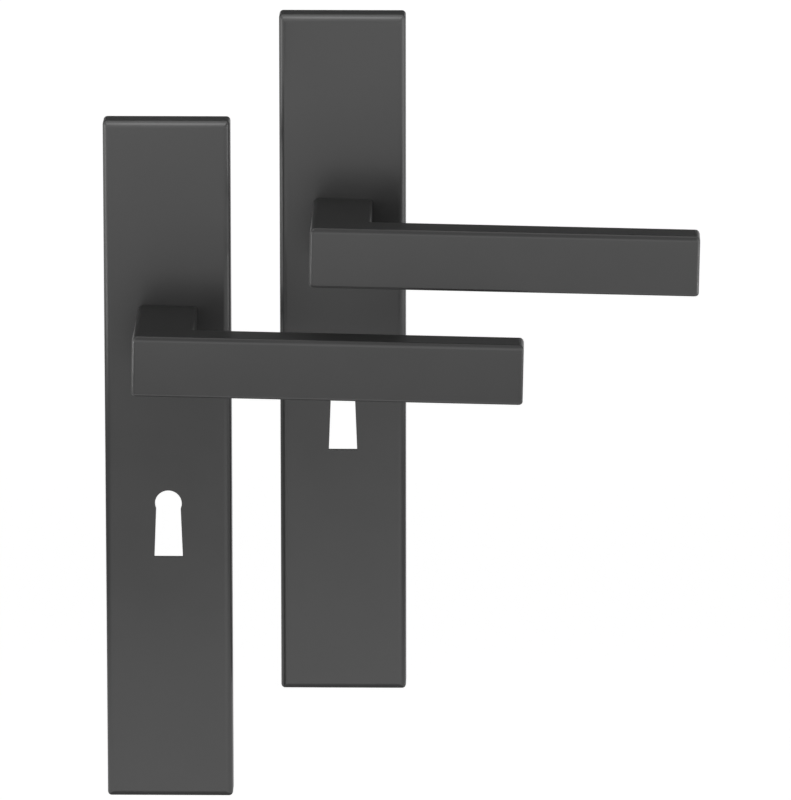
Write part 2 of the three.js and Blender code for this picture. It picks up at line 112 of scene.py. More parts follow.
def length(name, description, millimetres):
    """A length property whose default is given in millimetres."""
    return bpy.props.FloatProperty(
        name=name, description=description, default=millimetres * MM, min=0.0, unit="LENGTH", precision=5)


def colour(name, description, value):
    """A colour property, as linear red, green and blue."""
    return bpy.props.FloatVectorProperty(
        name=name, description=description, default=value, size=3, min=0.0, max=1.0, subtype="COLOR")


def share(name, description, value):
    """A property between nought and one."""
    return bpy.props.FloatProperty(
        name=name, description=description, default=value, min=0.0, max=1.0, subtype="FACTOR")


def angle(name, description, degrees):
    """An angle property whose default is given in degrees."""
    return bpy.props.FloatProperty(
        name=name, description=description, default=math.radians(degrees), subtype="ANGLE", unit="ROTATION")


class HandleSizes(bpy.types.PropertyGroup):
    """Sizes of the pieces that are modelled here"""

    plate_wall: length("Plate wall", "Thickness of the cover plate", 1.6)
    plate_edge_round: length("Plate edge round", "Radius along the cover plate's front edges", 2.5)
    plate_corner_round: length("Plate corner round", "Radius of the cover plate's four corners", 1.3)
    plate_front_corner_round: length("Plate front corner round", "Least corner radius, at the front", 0.3)
    plate_rim_round: length("Plate rim round", "Radius along the rim that meets the door", 0.2)
    cavity_corner_round: length("Cavity corner round", "Radius in the corners of the hollow", 1.0)
    cavity_floor_round: length("Cavity floor round", "Radius around the floor of the hollow", 0.6)
    bearing_hole_radius: length("Bearing hole radius", "Hole in the cover for the bush", 9.1)
    hole_edge_round: length("Hole edge round", "Radius around the holes in the cover", 0.2)
    key_distance: length("Key distance", "Spindle axis to the head of the keyhole", 56)
    key_head_diameter: length("Keyhole head", "Diameter of the keyhole's round head", 8.65)
    key_waist_width: length("Keyhole waist", "Width of the keyhole under its head", 7.95)
    key_foot_width: length("Keyhole foot", "Width of the keyhole at its foot", 9.2)
    key_height: length("Keyhole height", "Height of the keyhole", 22.1)
    nib_length: length("Nib length", "Length of the base plate's snap nibs", 8)
    nib_hold: length("Nib hold", "Depth of the snap nibs in the cover", 0.45)
    nib_inset: length("Nib inset", "Front of the base plate to its snap nibs", 0.8)
    nib_width: length("Nib width", "Width of the snap nibs", 1.4)
    fit_gap: length("Fit gap", "Gap between pieces that fit together", 0.3)

    neck_half: length("Neck half width", "Half the width of the lever's square neck", 9.5)
    neck_gap: length("Neck gap", "Gap between the neck and the cover plate", 0.12)
    grip_reach: length("Grip reach", "Spindle axis to the tip of the grip", 114.9)
    grip_thickness: length("Grip thickness", "Thickness of the grip, away from the door", 12.3)
    grip_height: length("Grip height", "Height of the grip", 19.5)
    lever_top_round: length("Lever top round", "Radius along the top of the grip's front and ends", 1.7)
    lever_edge_round: length("Lever edge round", "Radius along the lever's other edges", 1.0)
    lever_corner_round: length("Lever corner round", "Radius down the lever's upright edges", 1.5)
    lever_inner_round: length("Lever inner round", "Radius where the grip leaves the neck", 0.8)
    rest_droop: angle("Rest droop", "Angle by which the levers hang at rest", 1.15)

    journal_radius: length("Journal radius", "Radius of the journal behind the neck", 7.7)
    groove_radius: length("Groove radius", "Radius in the retaining ring's groove", 6.7)
    journal_sink: length("Journal sink", "Depth of the journal's root in the neck", 3)
    journal_lip: length("Journal lip", "Width of the lip behind the groove", 0.6)
    journal_door_room: length("Journal room", "Journal's end to the face of the door", 0.3)
    journal_chamfer: length("Journal chamfer", "Chamfer at the end of the journal", 0.25)
    flat_depth: length("Flat depth", "Depth of the journal's two flats", 0.8)
    socket_half: length("Socket half width", "Half the width of the square socket", 4.3)
    socket_depth: length("Socket depth", "Depth of the square socket", 32)
    screw_hole_radius: length("Set screw hole radius", "Hole in the neck's underside", 2.8)
    screw_inset: length("Set screw inset", "Shoulder of the neck to the set screw", 8)

    spring_wire: length("Spring wire", "Diameter of the return spring's wire", 1.3)
    spring_radius: length("Spring radius", "Radius of the return spring's coil line", 10.35)
    spring_turns: bpy.props.FloatProperty(
        name="Spring turns", description="Turns of the return spring's coil", default=1.3, min=0.0)
    spring_gap: length("Spring gap", "Gap between the turns of the coil", 0.5)
    spring_leg: length("Spring leg", "Length of the spring's two straight legs", 10)
    tab_half_width: length("Tab half width", "Half the width of the driver's tab", 2.6)
    tab_reach: length("Tab reach", "Spindle axis to the driver's tab", 13.4)

    spindle_chamfer: length("Spindle edge", "Radius along the drawn spindle's edges", 0.35)
    small_edge_round: length("Small edge round", "Radius on the edges of the inner pieces", 0.12)
    thread_pitch: length("Thread pitch", "Pitch of the through bolts", 0.7)
    thread_depth: length("Thread depth", "Depth of the through bolts' thread", 0.42)
    thread_length: length("Thread length", "Threaded length of the through bolts", 22)
    bolt_radius: length("Bolt radius", "Radius of the through bolts", 2)
    sleeve_bore_radius: length("Sleeve bore radius", "Radius of the bore in the sleeves", 2.3)
    sleeve_thread_length: length("Sleeve thread length", "Threaded length of the sleeves", 14)
    thread_chamfer: length("Thread chamfer", "Chamfer at the end of the through bolts", 0.6)


class HandleFinishes(bpy.types.PropertyGroup):
    """Colours and gloss of the finishes"""

    graphite: colour("Graphite coat", "Satin coat of the plates and levers", (0.1120, 0.1120, 0.1120))
    graphite_edge: share("Graphite edge tint", "Share of the coat's shine that is left at low angles", 0.85)
    graphite_metal: share("Graphite metal share", "Share of the coat's light that is mirrored", 0.78)
    graphite_gloss: share("Graphite roughness", "Roughness of the satin coat", 0.34)
    cast_metal: colour("Cast metal", "Bare turned metal of the journal", (0.42, 0.42, 0.43))
    nylon: colour("Nylon", "Moulded base plates", (0.022, 0.022, 0.023))
    acetal: colour("Acetal", "Bearing bushes", (0.68, 0.67, 0.63))
    zinc: colour("Zinc plating", "Drivers, washers and fixings", (0.56, 0.57, 0.59))
    spring_steel: colour("Spring steel", "Return springs and retaining rings", (0.30, 0.30, 0.31))
    bright_steel: colour("Bright steel", "Drawn spindle", (0.46, 0.46, 0.47))
    black_oxide: colour("Black oxide", "Set screws", (0.035, 0.035, 0.038))


class StageSettings(bpy.types.PropertyGroup):
    """Camera, floor and lamps"""

    camera_place: bpy.props.FloatVectorProperty(
        name="Camera place", description="Where the camera stands",
        default=(0.12894, -3.0, 0.70019), subtype="TRANSLATION", unit="LENGTH")
    camera_pitch: angle("Camera pitch", "How far the camera looks down", 13.560)
    camera_turn: angle("Camera turn", "How far the camera turns aside", -1.062)
    camera_lean: angle("Camera lean", "How far the camera leans over", -0.046)
    focal_pixels: bpy.props.FloatProperty(
        name="Focal length", description="Focal length in pixels of the photograph", default=9545.6)
    image_width: bpy.props.IntProperty(
        name="Image width", description="Width of the photograph in pixels", default=791)
    image_height: bpy.props.IntProperty(
        name="Image height", description="Height of the photograph in pixels", default=800)
    floor_drop: length("Floor drop", "Lowest point of the handles to the floor", 350)
    floor_half: length("Floor half size", "Half the side of the floor", 40000)
    fill_light: share("Fill light", "Soft light from all round on matt surfaces", 0.5)


# Solids

def outline(corners, inset=0.0, least_radius=0.0):
    """Points against the clock through corners (u, v, radius), with every side moved inwards by inset."""
    points = []
    for index, (u, v, radius) in enumerate(corners):
        here = Vector((u, v))
        before = (here - Vector(corners[index - 1][:2])).normalized()
        after = (Vector(corners[(index + 1) % len(corners)][:2]) - here).normalized()
        turn = math.atan2(before.x * after.y - before.y * after.x, before.dot(after))
        inward = Vector((-before.y, before.x))
        inward_after = Vector((-after.y, after.x))
        corner = here + (inward + inward_after) * inset / (1 + inward.dot(inward_after))
        if radius == 0:
            points.append(corner)
            continue
        rounding = max(radius - math.copysign(inset, turn), least_radius)
        start = corner - before * rounding * math.tan(abs(turn) / 2)
        centre = start + inward * math.copysign(rounding, turn)
        for step in range(CORNER_STEPS + 1):
            points.append(centre + Matrix.Rotation(turn * step / CORNER_STEPS, 2) @ (start - centre))
    return points


def rectangle(half_width, bottom, top, radius):
    """Corners of a rectangle around the middle line."""
    return [
        (-half_width, bottom, radius),
        (half_width, bottom, radius),
        (half_width, top, radius),
        (-half_width, top, radius),
    ]


def keyhole(sizes, grow):
    """Outline of the keyhole, with every side moved outwards by grow."""
    head = sizes.key_head_diameter / 2
    foot = sizes.key_foot_width / 2 + grow
    foot_height = head - sizes.key_distance - sizes.key_height - grow
    waist_angle = math.acos((sizes.key_waist_width / 2 + grow) / (head + grow))
    points = [(-foot, foot_height), (foot, foot_height)]
    for step in range(KEYHOLE_STEPS + 1):
        turn = -waist_angle + (math.pi + 2 * waist_angle) * step / KEYHOLE_STEPS
        points.append(((head + grow) * math.cos(turn), (head + grow) * math.sin(turn) - sizes.key_distance))
    return points


def through_door(u, v, depth):
    """Place of an outline point drawn in X and Z, stretched into the door."""
    return (u, depth, v)


def upwards(u, v, depth):
    """Place of an outline point drawn in X and Y, stretched upwards."""
    return (u, v, depth)


def in_scene(name, data):
    """Puts an object with its data into the scene."""
    made = bpy.data.objects.new(name, data)
    bpy.context.scene.collection.objects.link(made)
    return made


def shape_of(name, mesh):
    """Makes an object of a bmesh."""
    data = bpy.data.meshes.new(name)
    mesh.to_mesh(data)
    mesh.free()
    return in_scene(name, data)


def solid(name, mesh):
    """Makes an object of a bmesh, with its faces pointing outwards."""
    bmesh.ops.recalc_face_normals(mesh, faces=mesh.faces)
    if mesh.calc_volume(signed=True) < 0:
        bmesh.ops.reverse_faces(mesh, faces=mesh.faces)
    return shape_of(name, mesh)


def end_levels(depth, inward, rounding):
    """Depths and insets over one end: rounded over, flared outwards where negative, or plain."""
    if rounding == 0:
        return [(depth, 0.0)]
    levels = []
    if rounding < 0:
        levels.append((depth - inward * CUT_OVERRUN, rounding))
    for step in range(EDGE_STEPS + 1):
        turn = math.pi / 2 * step / EDGE_STEPS
        along = depth + inward * abs(rounding) * (1 - math.cos(turn))
        levels.append((along, rounding * (1 - math.sin(turn))))
    return levels


def prism(name, section, start, end, start_round=0.0, end_round=0.0, place=through_door):
    """Closed solid of section(inset) from start to end, with its ends rounded over or flared."""
    levels = end_levels(start, 1, start_round) + end_levels(end, -1, end_round)[::-1]
    mesh = bmesh.new()
    rings = [[mesh.verts.new(place(u, v, depth)) for u, v in section(inset)] for depth, inset in levels]
    for near, far in zip(rings, rings[1:]):
        for i in range(len(near)):
            j = (i + 1) % len(near)
            mesh.faces.new((near[i], near[j], far[j], far[i]))
    mesh.faces.new(rings[0])
    mesh.faces.new(rings[-1])
    return solid(name, mesh)


def box(name, low, high):
    """Closed block between two corners, for cutting and joining."""
    corners = [(low[0], low[2], 0), (high[0], low[2], 0), (high[0], high[2], 0), (low[0], high[2], 0)]
    return prism(name, lambda inset: outline(corners, inset), low[1], high[1])


def turned(name, profile):
    """Closed solid turned around the spindle axis through (radius, depth, rounding) corners."""
    mesh = bmesh.new()
    turns = [2 * math.pi * step / TURN_STEPS for step in range(TURN_STEPS)]
    rings = []
    for radius, depth in outline(profile):
        if radius < MERGE_DISTANCE:
            rings.append([mesh.verts.new((0, depth, 0))])
            continue
        rings.append([mesh.verts.new((radius * math.cos(a), depth, radius * math.sin(a))) for a in turns])
    for near, far in zip(rings, rings[1:] + rings[:1]):
        if len(near) == 1 and len(far) == 1:
            continue
        for i in range(TURN_STEPS):
            j = i + 1
            ring = [near[i % len(near)], near[j % len(near)], far[j % len(far)], far[i % len(far)]]
            mesh.faces.new(list(dict.fromkeys(ring)))
    return solid(name, mesh)


def settled(made):
    """Turns an object's live modifiers into plain mesh."""
    graph = bpy.context.evaluated_depsgraph_get()
    graph.update()
    data = bpy.data.meshes.new_from_object(
        made.evaluated_get(graph), preserve_all_data_layers=True, depsgraph=graph)
    old = made.data
    made.modifiers.clear()
    made.data = data
    bpy.data.meshes.remove(old)
    data.name = made.name
    return made


def combined(base, operation, *others):
    """Joins other solids to a base or cuts them from it, and removes them."""
    for other in others:
        modifier = base.modifiers.new("combine", "BOOLEAN")
        modifier.operation = operation
        modifier.solver = "EXACT"
        modifier.object = other
    settled(base)
    for other in others:
        bpy.data.objects.remove(other)
    return base


def smoothed(made):
    """Shades a piece smooth across its rounds, with flat faces kept flat and hard edges kept hard."""
    mesh = bmesh.new()
    mesh.from_mesh(made.data)
    bmesh.ops.remove_doubles(mesh, verts=mesh.verts, dist=MERGE_DISTANCE)
    for face in mesh.faces:
        face.smooth = True
    for edge in mesh.edges:
        edge.smooth = len(edge.link_faces) == 2 and edge.calc_face_angle() < SHARP_ANGLE
    mesh.to_mesh(made.data)
    mesh.free()
    modifier = made.modifiers.new("flat faces", "WEIGHTED_NORMAL")
    modifier.keep_sharp = True
    return settled(made)


def copy_of(node, name):
    """A packed node's own shape with its triangles merged."""
    mesh = bmesh.new()
    mesh.from_mesh(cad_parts[node].data)
    bmesh.ops.remove_doubles(mesh, verts=mesh.verts, dist=MERGE_DISTANCE)
    bmesh.ops.dissolve_limit(mesh, angle_limit=FLAT_ANGLE, verts=mesh.verts, edges=mesh.edges)
    return solid(name, mesh)


def eased(made, edge_round):
    """Rounds a piece's hard edges a little."""
    modifier = made.modifiers.new("eased edges", "BEVEL")
    modifier.width = edge_round
    modifier.segments = 2
    modifier.limit_method = "ANGLE"
    modifier.angle_limit = SHARP_ANGLE
    return settled(made)


def grown(name, tree, **inputs):
    """Plain mesh of a geometry tree, with its inputs given by name with underscores for spaces."""
    made = in_scene(name, bpy.data.meshes.new(name))
    modifier = made.modifiers.new("form", "NODES")
    modifier.node_group = tree
    for socket in tree.interface.items_tree:
        key = socket.name.replace(" ", "_")
        if socket.in_out == "INPUT" and key in inputs:
            modifier[socket.identifier] = inputs[key]
    return settled(made)


def spindle_axis(side):
    """Point where a handle's spindle axis meets the face of the door."""
    low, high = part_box(f"{side}_bearing_bush")
    door_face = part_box(f"{side}_cover_plate")[1].y
    return Vector(((low.x + high.x) / 2, door_face, (low.z + high.z) / 2))


def seated(made, side, droop=0.0):
    """Moves a piece that is drawn around the spindle axis to its handle."""
    made.data.transform(Matrix.Translation(spindle_axis(side)) @ Matrix.Rotation(droop, 4, "Y"))
    return made


def coated(made, material, slot, node):
    """Gives a piece that is in its place its finish, and shows it in its node's stead."""
    smoothed(made)
    made.data.materials.clear()
    made.data.materials.append(material)
    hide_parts(node)
    return made


# Node trees

class NodeSums:
    """Writes sums as chains of Math nodes in one tree."""

    def __init__(self, tree):
        self.tree = tree

    def __call__(self, operation, *values, clamp=False):
        node = self.tree.nodes.new("ShaderNodeMath")
        node.operation = operation
        node.use_clamp = clamp
        for socket, value in zip(node.inputs, values):
            fill(self.tree, socket, value)
        return node.outputs[0]


def fill(tree, socket, value):
    """Links a socket to another one, or sets its value."""
    if isinstance(value, bpy.types.NodeSocket):
        tree.links.new(value, socket)
    else:
        socket.default_value = value


def add(tree, kind, inputs=None, **settings):
    """Adds a node with its settings and inputs, which are given by the socket's name or number."""
    node = tree.nodes.new(kind)
    for key, value in settings.items():
        setattr(node, key, value)
    for key, value in (inputs or {}).items():
        fill(tree, node.inputs[key], value)
    return node


def new_group(name, kind, inputs, outputs):
    """A node group with named sockets, given as (name, socket type, default), and its two end nodes."""
    tree = bpy.data.node_groups.new(name, kind)
    for title, socket_type, default in inputs:
        socket = tree.interface.new_socket(title, in_out="INPUT", socket_type=socket_type)
        if default is not None:
            socket.default_value = default
    for title, socket_type in outputs:
        tree.interface.new_socket(title, in_out="OUTPUT", socket_type=socket_type)
    return tree, tree.nodes.new("NodeGroupInput"), tree.nodes.new("NodeGroupOutput")


def once(build):
    """Builds a shared group or material at its first use and hands the same one out after that."""
    made = {}

    def get(*arguments):
        if arguments not in made:
            made[arguments] = build(*arguments)
        return made[arguments]
    return get


@once
def grain_group():
    """Fine grain for a bump, and slow clouds for tone and gloss."""
    tree, start, end = new_group(
        "Surface Grain", "ShaderNodeTree",
        [("Grain Size", "NodeSocketFloat", 0.0003), ("Cloud Size", "NodeSocketFloat", 0.03)],
        [("Height", "NodeSocketFloat"), ("Clouds", "NodeSocketFloat")])
    sums = NodeSums(tree)
    place = tree.nodes.new("ShaderNodeTexCoord").outputs["Object"]
    fine = add(tree, "ShaderNodeTexNoise", {
        "Vector": place, "Scale": sums("DIVIDE", 1.0, start.outputs["Grain Size"]), "Detail": 3.0,
        "Roughness": 0.6})
    slow = add(tree, "ShaderNodeTexNoise", {
        "Vector": place, "Scale": sums("DIVIDE", 1.0, start.outputs["Cloud Size"]), "Detail": 4.0,
        "Roughness": 0.55})
    fill(tree, end.inputs["Height"], fine.outputs["Fac"])
    fill(tree, end.inputs["Clouds"], slow.outputs["Fac"])
    return tree


@once
def edge_group():
    """Mask that is one on outer edges and nought on flat faces."""
    tree, start, end = new_group(
        "Edge Mask", "ShaderNodeTree", [("Radius", "NodeSocketFloat", 0.0008)], [("Mask", "NodeSocketFloat")])
    sums = NodeSums(tree)
    rounded = add(tree, "ShaderNodeBevel", {"Radius": start.outputs["Radius"]}, samples=6)
    normal = tree.nodes.new("ShaderNodeNewGeometry").outputs["Normal"]
    along = add(
        tree, "ShaderNodeVectorMath", {0: rounded.outputs["Normal"], 1: normal}, operation="DOT_PRODUCT")
    apart = sums("SUBTRACT", 1.0, along.outputs["Value"])
    fill(tree, end.inputs["Mask"], sums("MULTIPLY", apart, EDGE_CONTRAST, clamp=True))
    return tree


@once
def turning_group():
    """Height of the fine rings that a lathe leaves around an axis along Y."""
    tree, start, end = new_group(
        "Turning Marks", "ShaderNodeTree",
        [
            ("Axis X", "NodeSocketFloat", 0.0),
            ("Axis Z", "NodeSocketFloat", 0.0),
            ("Spacing", "NodeSocketFloat", 0.0002),
        ],
        [("Height", "NodeSocketFloat")])
    sums = NodeSums(tree)
    place = tree.nodes.new("ShaderNodeTexCoord").outputs["Object"]
    parts = add(tree, "ShaderNodeSeparateXYZ", {"Vector": place})
    across = sums("SUBTRACT", parts.outputs["X"], start.outputs["Axis X"])
    up = sums("SUBTRACT", parts.outputs["Z"], start.outputs["Axis Z"])
    radius = sums("SQRT", sums("ADD", sums("MULTIPLY", across, across), sums("MULTIPLY", up, up)))
    along = sums("ADD", radius, parts.outputs["Y"])
    rings = tree.nodes.new("ShaderNodeTexNoise")
    rings.noise_dimensions = "1D"
    fill(tree, rings.inputs["W"], sums("DIVIDE", along, start.outputs["Spacing"]))
    fill(tree, rings.inputs["Scale"], 1.0)
    fill(tree, rings.inputs["Detail"], 2.0)
    fill(tree, end.inputs["Height"], rings.outputs["Fac"])
    return tree


@once
def drawn_group():
    """Height of the long scratches that drawing leaves along Y."""
    tree, start, end = new_group(
        "Drawn Lines", "ShaderNodeTree",
        [("Spacing", "NodeSocketFloat", 0.0002)],
        [("Height", "NodeSocketFloat")])
    sums = NodeSums(tree)
    place = tree.nodes.new("ShaderNodeTexCoord").outputs["Object"]
    fine = sums("DIVIDE", 1.0, start.outputs["Spacing"])
    scale = add(tree, "ShaderNodeCombineXYZ", {"X": fine, "Y": 1 / SCRATCH_LENGTH, "Z": fine})
    stretched = add(
        tree, "ShaderNodeVectorMath", {0: place, 1: scale.outputs["Vector"]}, operation="MULTIPLY")
    lines = add(tree, "ShaderNodeTexNoise", {
        "Vector": stretched.outputs["Vector"], "Scale": 1.0, "Detail": 3.0})
    fill(tree, end.inputs["Height"], lines.outputs["Fac"])
    return tree


def placed(tree, group, **inputs):
    """Places a shared group in a material, with its inputs given by name with underscores for spaces."""
    node = tree.nodes.new("ShaderNodeGroup")
    node.node_tree = group
    for key, value in inputs.items():
        fill(tree, node.inputs[key.replace("_", " ")], value)
    return node


def new_finish(name, **constants):
    """A material with its shader, and constants set on the shader by name with underscores for spaces."""
    material = bpy.data.materials.new(name)
    material.use_nodes = True
    tree = material.node_tree
    shader = tree.nodes["Principled BSDF"]
    for key, value in constants.items():
        shader.inputs[key.replace("_", " ")].default_value = value
    return material, tree, shader


def spread(tree, value, low, high):
    """Stretches a noise value to run from low to high."""
    stretched = add(tree, "ShaderNodeMapRange", {
        "Value": value, "From Min": NOISE_LOW, "From Max": NOISE_HIGH, "To Min": low, "To Max": high})
    return stretched.outputs["Result"]


def tinted(tree, tone, base, dark_share, light_share):
    """Colour that runs from a darker to a lighter shade of a base colour with a tone."""
    dark = [c * dark_share for c in base]
    light = [min(1.0, c * light_share) for c in base]
    mix = add(tree, "ShaderNodeMix", {0: tone, 6: (*dark, 1.0), 7: (*light, 1.0)}, data_type="RGBA")
    return mix.outputs[2]


def bumped(tree, shader, height, distance, strength):
    """Feeds a height to the shader's normal."""
    bump = add(tree, "ShaderNodeBump", {"Height": height, "Distance": distance, "Strength": strength})
    fill(tree, shader.inputs["Normal"], bump.outputs["Normal"])


def grained_finish(
        name, base, roughness, grain_size, grain_depth, grain_strength=1.0, cloud_size=30 * MM,
        edge_width=0.4 * MM, edge_tone=0.4, low_tone=0.2, high_tone=0.6, dark_share=0.85, light_share=1.2,
        gloss_change=0.06, marks=None, **constants):
    """A finish with slow clouds, paler edges and a fine grain, or tool marks in the grain's stead."""
    material, tree, shader = new_finish(name, **constants)
    grain = placed(tree, grain_group(), Grain_Size=grain_size, Cloud_Size=cloud_size)
    edges = placed(tree, edge_group(), Radius=edge_width)
    sums = NodeSums(tree)
    clouds = grain.outputs["Clouds"]
    tone = spread(tree, clouds, low_tone, high_tone)
    # Edges are painted paler by the edge mask; on the graphite coat this is partly a thinner coat and partly
    # a painted highlight
    tone = sums("ADD", tone, sums("MULTIPLY", edges.outputs["Mask"], edge_tone), clamp=True)
    fill(tree, shader.inputs["Base Color"], tinted(tree, tone, base, dark_share, light_share))
    rough = spread(tree, clouds, roughness - gloss_change, roughness + gloss_change)
    fill(tree, shader.inputs["Roughness"], rough)
    relief = marks(tree) if marks else grain
    bumped(tree, shader, relief.outputs["Height"], grain_depth, grain_strength)
    return material


@once
def graphite_coat():
    """Satin graphite coat: a fine even grain, slow changes of gloss, and edges painted a little paler, partly
    as a thinner coat and partly as a painted highlight along the rounds.
    """
    finishes = bpy.context.scene.handle_finishes
    return grained_finish(
        "graphite_coat", finishes.graphite, finishes.graphite_gloss,
        grain_size=0.12 * MM, grain_depth=0.002 * MM, grain_strength=0.6, cloud_size=35 * MM,
        # Paler edges: partly a thinner coat, partly a painted highlight along the rounds
        edge_width=0.7 * MM, edge_tone=0.25, low_tone=0.3, dark_share=0.92, light_share=1.12,
        gloss_change=0.012, Metallic=finishes.graphite_metal,
        Specular_Tint=(*[finishes.graphite_edge] * 3, 1.0), Specular_IOR_Level=0.0)


@once
def black_nylon():
    """Moulded nylon with the fine grain of a spark-eroded tool."""
    finishes = bpy.context.scene.handle_finishes
    return grained_finish(
        "black_nylon", finishes.nylon, roughness=0.52, grain_size=0.35 * MM, grain_depth=0.03 * MM,
        Metallic=0.0, Specular_IOR_Level=0.45)


@once
def white_acetal():
    """Turned acetal, a little translucent."""
    finishes = bpy.context.scene.handle_finishes
    return grained_finish(
        "white_acetal", finishes.acetal, roughness=0.4, grain_size=0.3 * MM, grain_depth=0.006 * MM,
        Metallic=0.0, Subsurface_Weight=0.15, Subsurface_Radius=(0.8 * MM, 0.7 * MM, 0.6 * MM),
        Subsurface_Scale=1.0)


@once
def zinc_plate():
    """Zinc plated steel with slow cloudy changes."""
    finishes = bpy.context.scene.handle_finishes
    return grained_finish(
        "zinc_plate", finishes.zinc, roughness=0.36, grain_size=0.2 * MM, grain_depth=0.004 * MM,
        cloud_size=6 * MM, Metallic=1.0)


@once
def spring_steel():
    """Oil-hardened spring steel."""
    finishes = bpy.context.scene.handle_finishes
    return grained_finish(
        "spring_steel", finishes.spring_steel, roughness=0.3, grain_size=0.25 * MM,
        grain_depth=0.004 * MM, cloud_size=8 * MM, Metallic=1.0)


@once
def black_oxide():
    """Black oxide of the set screws."""
    finishes = bpy.context.scene.handle_finishes
    return grained_finish(
        "black_oxide", finishes.black_oxide, roughness=0.42, grain_size=0.2 * MM, grain_depth=0.004 * MM,
        cloud_size=6 * MM, Metallic=1.0)


@once
def bright_steel():
    """Bright drawn steel with scratches along the bar."""
    finishes = bpy.context.scene.handle_finishes
    return grained_finish(
        "bright_steel", finishes.bright_steel, roughness=0.3, grain_size=0.2 * MM,
        grain_depth=0.003 * MM, cloud_size=10 * MM, Metallic=1.0,
        marks=lambda tree: placed(tree, drawn_group(), Spacing=0.8 * MM))


@once
def machined_zinc(side):
    """Bare zinc with the fine rings of a lathe around a handle's spindle axis."""
    finishes = bpy.context.scene.handle_finishes
    axis = spindle_axis(side)
    return grained_finish(
        "machined_zinc", finishes.cast_metal, roughness=0.3, grain_size=0.2 * MM,
        grain_depth=0.006 * MM, cloud_size=10 * MM, Metallic=1.0,
        marks=lambda tree: placed(tree, turning_group(), Axis_X=axis.x, Axis_Z=axis.z))


@once
def studio_net(held_back):
    """Open weave of a dark studio net that holds back a share of the light."""
    return new_finish(
        "studio_net", Metallic=0.0, Base_Color=BLACK, Specular_IOR_Level=0.0, Alpha=held_back)[0]


# Forms that follow a rule

def finish_form(tree, end, geometry, material):
    """Ends a geometry tree with real geometry that has its material."""
    real = add(tree, "GeometryNodeRealizeInstances", {"Geometry": geometry})
    coated_form = add(tree, "GeometryNodeSetMaterial", {"Geometry": real.outputs[0], "Material": material})
    fill(tree, end.inputs["Geometry"], coated_form.outputs[0])
    return tree


@once
def spring_form():
    """Torsion spring: a coil that advances along the axis, with two straight legs that leave it evenly."""
    tree, start, end = new_group(
        "Torsion Spring", "GeometryNodeTree",
        [
            ("Centre", "NodeSocketVector", None),
            ("Coil Radius", "NodeSocketFloat", 0.01),
            ("Wire Radius", "NodeSocketFloat", 0.0006),
            ("Fixed Angle", "NodeSocketFloat", 0.0),
            ("Moving Angle", "NodeSocketFloat", 6.0),
            ("Advance", "NodeSocketFloat", 0.002),
            ("Leg", "NodeSocketFloat", 0.01),
            ("Steps", "NodeSocketInt", 400),
            ("Sides", "NodeSocketInt", 20),
            ("Material", "NodeSocketMaterial", None),
        ],
        [("Geometry", "NodeSocketGeometry")])
    sums = NodeSums(tree)
    given = start.outputs
    line = add(tree, "GeometryNodeMeshLine", {"Count": sums("ADD", given["Steps"], 1)})
    share_along = sums("DIVIDE", tree.nodes.new("GeometryNodeInputIndex").outputs[0], given["Steps"])
    whole_turn = sums("SUBTRACT", given["Moving Angle"], given["Fixed Angle"])
    coil = sums("MULTIPLY", whole_turn, given["Coil Radius"])
    whole = sums("ADD", coil, sums("MULTIPLY", given["Leg"], 2.0))
    along = sums("SUBTRACT", sums("MULTIPLY", share_along, whole), given["Leg"])
    wound = sums("DIVIDE", along, coil, clamp=True)
    turn = sums("ADD", given["Fixed Angle"], sums("MULTIPLY", wound, whole_turn))
    beyond = sums("SUBTRACT", along, sums("MULTIPLY", wound, coil))
    sine = sums("SINE", turn)
    cosine = sums("COSINE", turn)
    across = sums("ADD", sums("MULTIPLY", given["Coil Radius"], sine), sums("MULTIPLY", beyond, cosine))
    up = sums("SUBTRACT", sums("MULTIPLY", given["Coil Radius"], cosine), sums("MULTIPLY", beyond, sine))
    deep = sums("MULTIPLY", sums("SUBTRACT", 1.0, wound), given["Advance"])
    place = add(tree, "ShaderNodeCombineXYZ", {"X": across, "Y": deep, "Z": up})
    centred = add(
        tree, "ShaderNodeVectorMath", {0: place.outputs["Vector"], 1: given["Centre"]}, operation="ADD")
    moved = add(tree, "GeometryNodeSetPosition", {
        "Geometry": line.outputs[0], "Position": centred.outputs["Vector"]})
    path = add(tree, "GeometryNodeMeshToCurve", {"Mesh": moved.outputs[0]})
    section = add(tree, "GeometryNodeCurvePrimitiveCircle", {
        "Resolution": given["Sides"], "Radius": given["Wire Radius"]})
    wire = add(tree, "GeometryNodeCurveToMesh", {
        "Curve": path.outputs[0], "Profile Curve": section.outputs[0], "Fill Caps": True})
    return finish_form(tree, end, wire.outputs[0], given["Material"])


